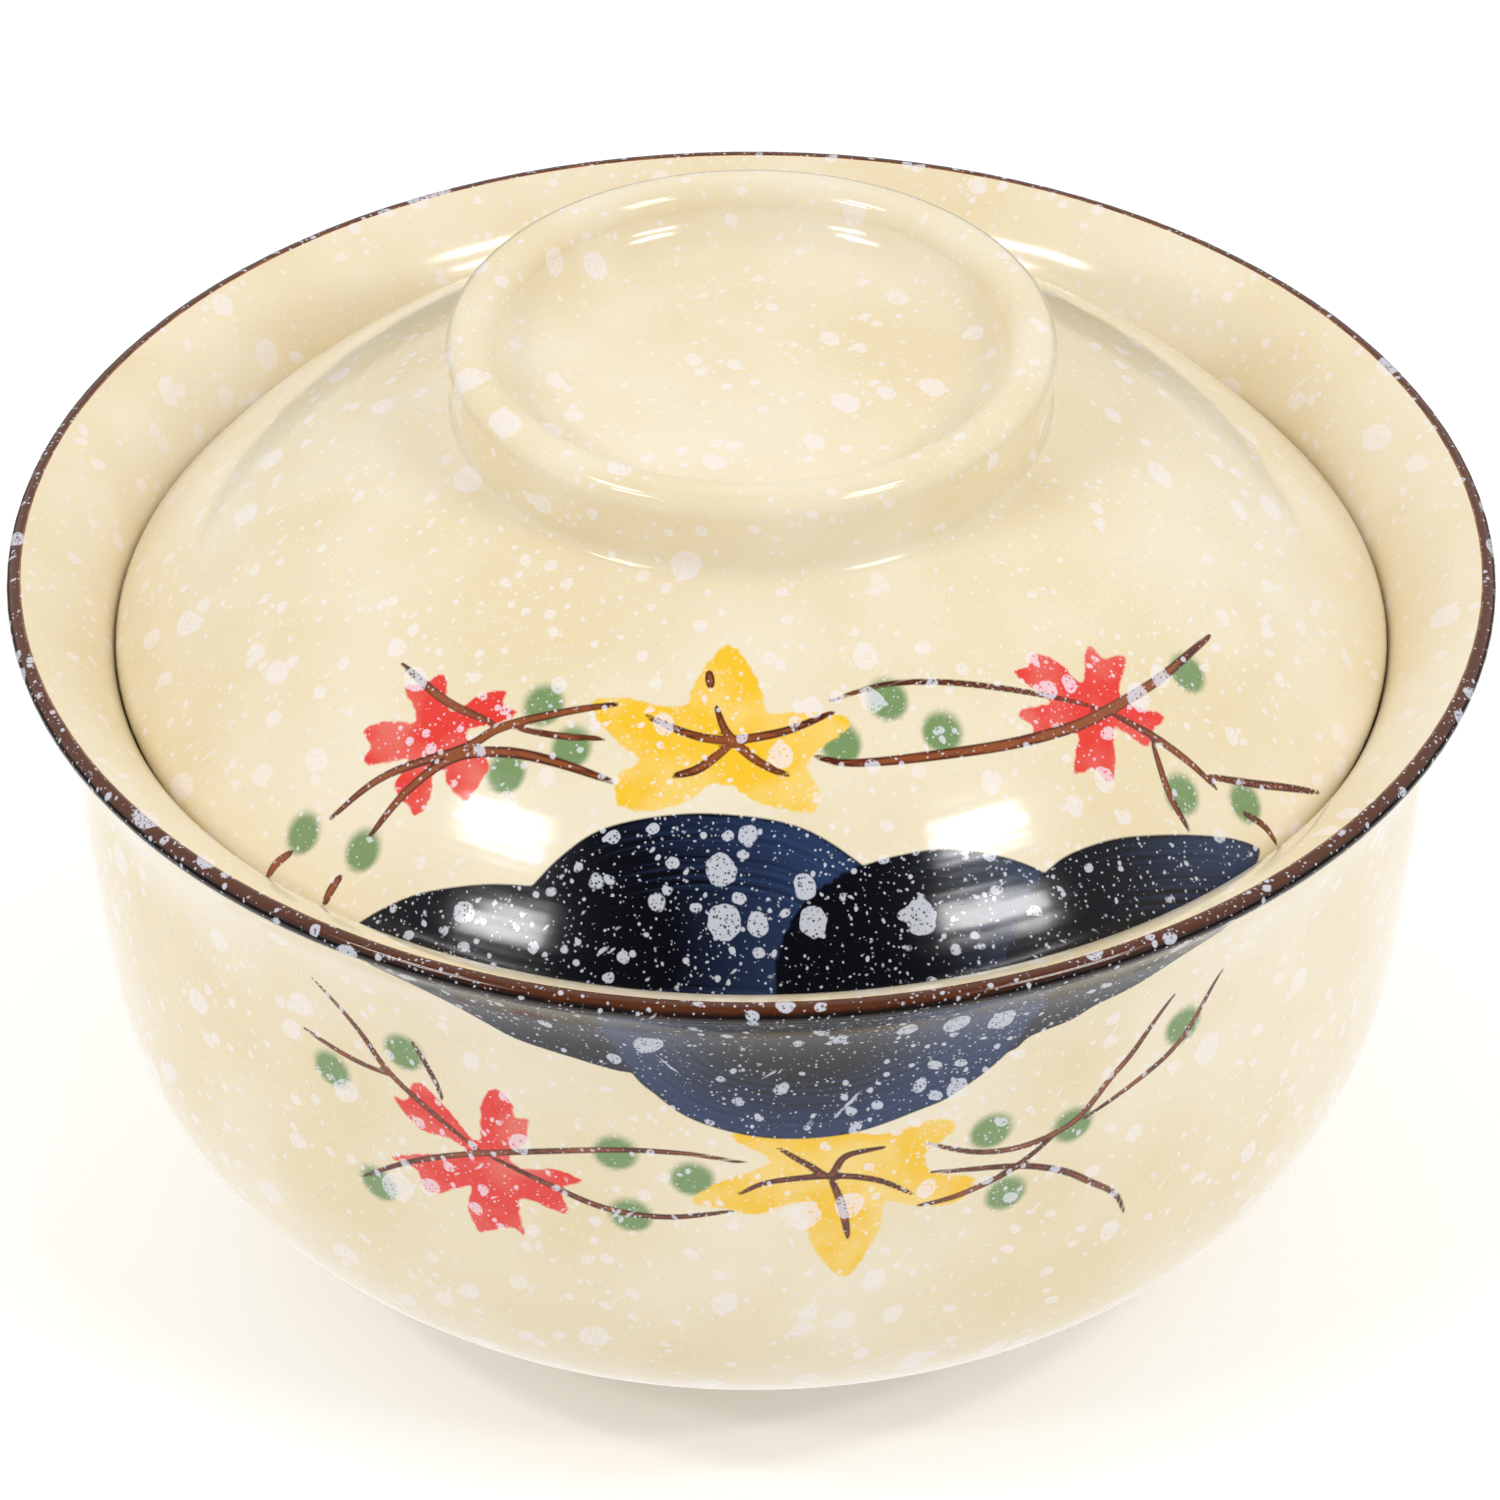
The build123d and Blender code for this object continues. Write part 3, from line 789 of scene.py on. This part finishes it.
knob_radius = KNOB_DIAMETER / 2
knob_crest = dome_height(knob_radius) + KNOB_RISE
roll_centre = np.array([knob_radius - KNOB_ROLL, knob_crest - KNOB_ROLL])
knob_base_angle = math.degrees(math.acos((knob_radius - KNOB_DRAFT) / dome_radius))
knob_base = dome_centre + dome_radius * heading(knob_base_angle)
dish_height = knob_crest - KNOB_DISH
dish_radius = knob_radius - 2 * KNOB_ROLL - DISH_DRAFT
crown_height = dish_height - LID_FLOOR

edge_inside = edge_centre + LID_EDGE_RADIUS * heading(edge_angle + 180)
underside = flowing([(0, crown_height), (knob_radius, dome_height(knob_radius) - LID_SHOULDER), edge_inside],
                    heading(0), heading(edge_angle - 90))
roll_outside, roll_inside = roll_centre + KNOB_ROLL * heading(0), roll_centre + KNOB_ROLL * heading(180)

# The root fillet's circle stands one fillet radius off both the dome and the knob's side.
side = (roll_outside - knob_base) / np.linalg.norm(roll_outside - knob_base)
outward = np.array([side[1], -side[0]])
offset = knob_base + KNOB_ROOT_FILLET * outward - dome_centre
ahead = offset @ side
climb = math.sqrt(ahead ** 2 - offset @ offset + (dome_radius + KNOB_ROOT_FILLET) ** 2) - ahead
root_centre = dome_centre + offset + climb * side
root_low, root_high = (math.degrees(math.atan2(v[1], v[0])) for v in (dome_centre - root_centre, -outward))
knob_root = arc(root_centre, KNOB_ROOT_FILLET, root_low, root_high - 360, CORNER_ROW)
dome_top = math.degrees(math.atan2(knob_root[0, 1] - dome_centre[1], knob_root[0, 0]))
dish_corner = (dish_radius, dish_height)
lid_profile = joined(even(underside, PLAIN_ROW),
                     arc(edge_centre, LID_EDGE_RADIUS, edge_angle + 180, edge_angle + 360, EDGE_ROW),
                     arc(dome_centre, dome_radius, edge_angle, PAINTED_ANGLE, LID_PAINT_ROW),
                     arc(dome_centre, dome_radius, PAINTED_ANGLE, dome_top, DOME_ROW), knob_root,
                     straight(knob_root[-1], roll_outside, KNOB_ROW),
                     arc(roll_centre, KNOB_ROLL, 0, 180, CORNER_ROW),
                     eased(roll_inside, dish_corner, (0, dish_height), DISH_FILLET),
                     straight((dish_radius - DISH_FILLET, dish_height), (0, dish_height), PLAIN_ROW))
lid_angles = turning(front_half=70, front_step=0.36, plain_step=3.0)
glazed_lid, lid_row, lid_angle = turned("glazed_lid", lid_profile, lid_angles)

LID_TWIGS = [
    (1.05, [(402, 664), (446, 701), (497, 725)]),
    (1.2, [(330, 819), (383, 777), (462, 749), (500, 728), (560, 713), (618, 704)]),
    (1.35, [(370, 836), (408, 790), (453, 758), (500, 752), (548, 760), (613, 782)]),
    (0.85, [(513, 728), (560, 736), (605, 739)]),
    (1.2, [(292, 852), (276, 864), (266, 880)]),
    (1.25, [(341, 876), (331, 890), (324, 905)]),
    (0.8, [(830, 701), (883, 685), (937, 682), (1000, 688), (1083, 704), (1105, 712)]),
    (1.4, [(816, 757), (851, 763), (915, 758), (1000, 746), (1064, 730), (1105, 712), (1159, 679),
     (1210, 636)]),
    (1.1, [(1112, 714), (1153, 736), (1190, 763), (1217, 789)]),
    (1.1, [(1204, 776), (1255, 784), (1320, 793)]),
    (1.0, [(1152, 742), (1169, 793), (1190, 832)]),
    (1.0, [(1242, 812), (1264, 826), (1277, 844)])]
LID_VEINS = [
    (1.1, [(646, 716), (678, 730), (705, 738), (730, 740), (758, 737), (792, 729), (834, 712)]),
    (1.1, [(716, 706), (724, 728), (735, 742), (753, 758), (774, 770), (789, 775)]),
    (1.15, [(733, 743), (714, 758), (696, 770), (673, 776)]),
    (1.15, [(709, 672), (710, 680), (711, 687)])]
LID_BUDS = [(303, 832), (363, 849), (543, 704), (572, 746), (506, 771), (887, 698), (943, 731), (840, 742),
            (1188, 672), (1182, 793), (1245, 801)]
LID_LEFT_LEAF = [
    (404, 688), (413, 685), (429, 681), (439, 674), (446, 679), (447, 696), (450, 710), (463, 708),
    (478, 696), (505, 690), (503, 704), (515, 710), (512, 717), (491, 725), (465, 732), (488, 762),
    (484, 777), (473, 794), (465, 800), (456, 793), (447, 782), (443, 769), (433, 777), (431, 793),
    (425, 808), (414, 815), (410, 806), (401, 800), (395, 787), (400, 774), (408, 759), (387, 762),
    (371, 766), (364, 762), (365, 756), (372, 745), (365, 738), (364, 730), (376, 723), (397, 721),
    (413, 723), (416, 714), (410, 701)]
LID_RIGHT_LEAF = [
    (1015, 671), (1028, 667), (1033, 653), (1061, 664), (1075, 680), (1084, 678), (1086, 649), (1092, 647),
    (1103, 658), (1124, 655), (1124, 671), (1119, 693), (1137, 707), (1161, 714), (1163, 720), (1152, 733),
    (1148, 747), (1126, 733), (1114, 728), (1115, 765), (1112, 782), (1104, 780), (1095, 769), (1075, 774),
    (1075, 758), (1077, 733), (1057, 736), (1035, 736), (1032, 725), (1019, 716), (1024, 709), (1043, 705),
    (1050, 700), (1024, 682)]
LID_YELLOW_LEAF = [
    (728, 644), (693, 687), (689, 703), (665, 707), (632, 699), (598, 699), (593, 712), (615, 740),
    (639, 760), (619, 774), (615, 794), (620, 806), (643, 811), (682, 804), (710, 785), (721, 785),
    (735, 788), (760, 804), (799, 812), (815, 810), (819, 791), (807, 767), (820, 749), (850, 726),
    (836, 714), (799, 712), (766, 712), (761, 687)]
LID_HILLS = [
    [(357, 924), (380, 910), (414, 895), (455, 887), (500, 884), (560, 890), (610, 905)],
    [(529, 889), (560, 857), (600, 830), (660, 816), (723, 814), (800, 827), (860, 863), (900, 900)],
    [(775, 978), (778, 955), (785, 935), (796, 914), (812, 896), (832, 881), (862, 866), (900, 855),
     (946, 849), (1000, 856), (1041, 871), (1080, 900)],
    [(1003, 978), (1008, 952), (1020, 915), (1036, 884), (1050, 868), (1072, 853), (1114, 839),
     (1156, 835), (1198, 835), (1235, 839), (1257, 847), (1260, 853), (1255, 867)]]
LID_HILL_HEARTS = [(470, 965), (570, 960), (850, 950), (1050, 930)]
LID_HILL_HEART_REACH = (8.0, 32.0)
BEYOND_EDGE = 100.0             # how far from the apex the hills that rise from the edge are closed
dome_walk = np.linspace(dome_centre[1] + dome_radius, edge_centre[1], SIGHT_STEPS)


def on_dome(pixels):
    """Points of the dome laid out flat: arc length from the apex, at each point's angle round it."""
    dome_radii = np.sqrt(dome_radius ** 2 - (dome_walk - dome_centre[1]) ** 2)
    angle, radius, _ = seen_on(pixels, dome_walk, dome_radii)
    run = dome_radius * np.arcsin(radius / dome_radius)
    return np.column_stack([run * np.sin(angle), -run * np.cos(angle)])


def risen_from_edge(pixels):
    """A hill that rises from the lid's edge: its upper outline, closed well beyond the edge."""
    crest = rounded_path(on_dome(pixels), False)
    beyond = BEYOND_EDGE / np.linalg.norm(crest[[-1, 0]], axis=1, keepdims=True)
    return np.vstack([crest, crest[[-1, 0]] * beyond])


lid_radii, lid_heights = lid_profile[lid_row].T
lid_run = dome_radius * np.arcsin(np.clip(lid_radii / dome_radius, 0, 1))
lid_spots = np.column_stack([lid_run * np.sin(lid_angle), -lid_run * np.cos(lid_angle)])
on_top = np.hypot(lid_radii, lid_heights - dome_centre[1]) > dome_radius - OUTER_FACE
front_of_lid = on_top & (lid_radii > KNOB_CLEAR) & (np.abs(lid_angle) < math.radians(LID_PAINTED_TO))
brushwork(glazed_lid, lid_spots, front_of_lid,
          [(width, on_dome(path)) for width, path in LID_TWIGS + LID_VEINS], on_dome(LID_BUDS),
          [on_dome(LID_LEFT_LEAF), on_dome(LID_RIGHT_LEAF)], on_dome(LID_YELLOW_LEAF),
          [risen_from_edge(path) for path in LID_HILLS], on_dome(LID_HILL_HEARTS), LID_HILL_HEART_REACH)

bare_edge = edge_centre[1] - LID_EDGE_WIPED
glazed_lid.data.materials.append(glazed("cream_glaze_dipped_lid", painted_cream, bare_edge))
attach(glazed_lid, "lid")
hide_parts("lid")

# Studio
# A white table under two soft boxes, left and right of the camera and high up, each with a narrow panel below
# it, in a pale room whose wall behind the camera is dark: the fronts of the glazes mirror that wall.
TABLE_HALF = 3.0
TABLE_WHITE = "#fafafa"
TABLE_GLOW = 0.2                # seen by the camera alone, so that the paper looks white and keeps its shadow
TABLE_MIRRORED = (1.05, 0.1)    # what the gloss shows of the paper: round the bowl, and where its light ends
TABLE_LIT = (170.0, 270.0)      # distances from the axis between which the one gives way to the other
ROOM_LIGHT = (1.14, 0.5)        # what the room gives matt surfaces: all round, and from behind the camera
ROOM_MIRRORED = (0.92, 0.06)    # and what shows of it in the gloss
BEHIND_CAMERA = (0.0, -0.71, 0.71)
DARK_WALL = (0.35, 0.85)        # cosines off that direction where the dark wall ends and where it is full
LAMP_DISTANCE = 1.2
LAMP_AIM = (0.0, 0.0, 0.1)
PAPER_ROUGHNESS = 0.9
LAMPS = [("soft_box_left", (-0.578, -0.355, 0.735), 20, (0.28, 0.10), 2.1),
         ("soft_box_right", (0.538, -0.382, 0.751), -20, (0.28, 0.10), 2.1),
         ("panel_left", (-0.580, -0.546, 0.605), 22, (0.26, 0.08), 1.5),
         ("panel_right", (0.575, -0.529, 0.624), -22, (0.34, 0.08), 1.9)]      # direction, roll, size, watts

table = bpy.data.meshes.new("table")
table.from_pydata([(-TABLE_HALF, -TABLE_HALF, 0), (TABLE_HALF, -TABLE_HALF, 0), (TABLE_HALF, TABLE_HALF, 0),
                   (-TABLE_HALF, TABLE_HALF, 0)], [], [(0, 1, 2, 3)])
floor = add_object("floor", table)
paper = bpy.data.materials.new("matt_white_paper")
tree = cleared_tree(paper)
seen = add_node(tree, "LightPath", {}, "Is Camera Ray")
mirrored = seen.node.outputs["Is Glossy Ray"]
place = add_node(tree, "TexCoord", {}, "Object")
radius = add_node(tree, "VectorMath", {0: place}, "Value", operation="LENGTH")
sheen = add_node(tree, "MapRange", {
    "Value": radius, "From Min": TABLE_LIT[0] * MM, "From Max": TABLE_LIT[1] * MM,
    "To Min": TABLE_MIRRORED[0], "To Max": TABLE_MIRRORED[1]})
sheen = add_node(tree, "Math", {0: mirrored, 1: sheen}, operation="MULTIPLY")
glow = add_node(tree, "Math", {0: seen, 1: TABLE_GLOW, 2: sheen}, operation="MULTIPLY_ADD")
white = add_node(tree, "Mix",
                 {0: mirrored, 6: colour(TABLE_WHITE), 7: (0.0, 0.0, 0.0, 1.0)}, 2, data_type="RGBA")
shader = add_node(tree, "BsdfPrincipled", {
    "Base Color": white, "Roughness": PAPER_ROUGHNESS, "Emission Color": colour("#ffffff"),
    "Emission Strength": glow})
tree.links.new(shader, tree.nodes.new("ShaderNodeOutputMaterial").inputs["Surface"])
table.materials.append(paper)

for name, direction, roll, size, watts in LAMPS:
    lamp = bpy.data.lights.new(name, "AREA")
    lamp.shape, lamp.size, lamp.size_y, lamp.energy = "RECTANGLE", *size, watts
    box = add_object(name, lamp)
    towards = np.array(direction) / np.linalg.norm(direction)
    box.location = np.array(LAMP_AIM) + towards * LAMP_DISTANCE
    aim = (Matrix.Rotation(math.atan2(towards[0], -towards[1]), 3, "Z")
           @ Matrix.Rotation(math.acos(towards[2]), 3, "X") @ Matrix.Rotation(math.radians(roll), 3, "Z"))
    box.rotation_euler = aim.to_euler()

world = bpy.data.worlds.new("pale_room")
bpy.context.scene.world = world
tree = cleared_tree(world)
direction = add_node(tree, "TexCoord", {}, "Generated")
facing = add_node(tree, "VectorMath", {0: direction, 1: BEHIND_CAMERA}, "Value", operation="DOT_PRODUCT")
given, mirrored = (add_node(tree, "MapRange", {
    "Value": facing, "From Min": DARK_WALL[0], "From Max": DARK_WALL[1], "To Min": pale,
    "To Max": dark}, interpolation_type="SMOOTHSTEP")
    for pale, dark in (ROOM_LIGHT, ROOM_MIRRORED))
seen = add_node(tree, "LightPath", {}, "Is Camera Ray")
level = add_node(tree, "Mix",
                 {0: seen.node.outputs["Is Glossy Ray"], 2: given, 3: mirrored}, data_type="FLOAT")
strength = add_node(tree, "Math", {0: level, 1: seen}, operation="MAXIMUM")
backdrop = add_node(tree, "Background", {"Strength": strength})
tree.links.new(backdrop, tree.nodes.new("ShaderNodeOutputWorld").inputs["Surface"])
bpy.context.scene.view_settings.view_transform = "Standard"
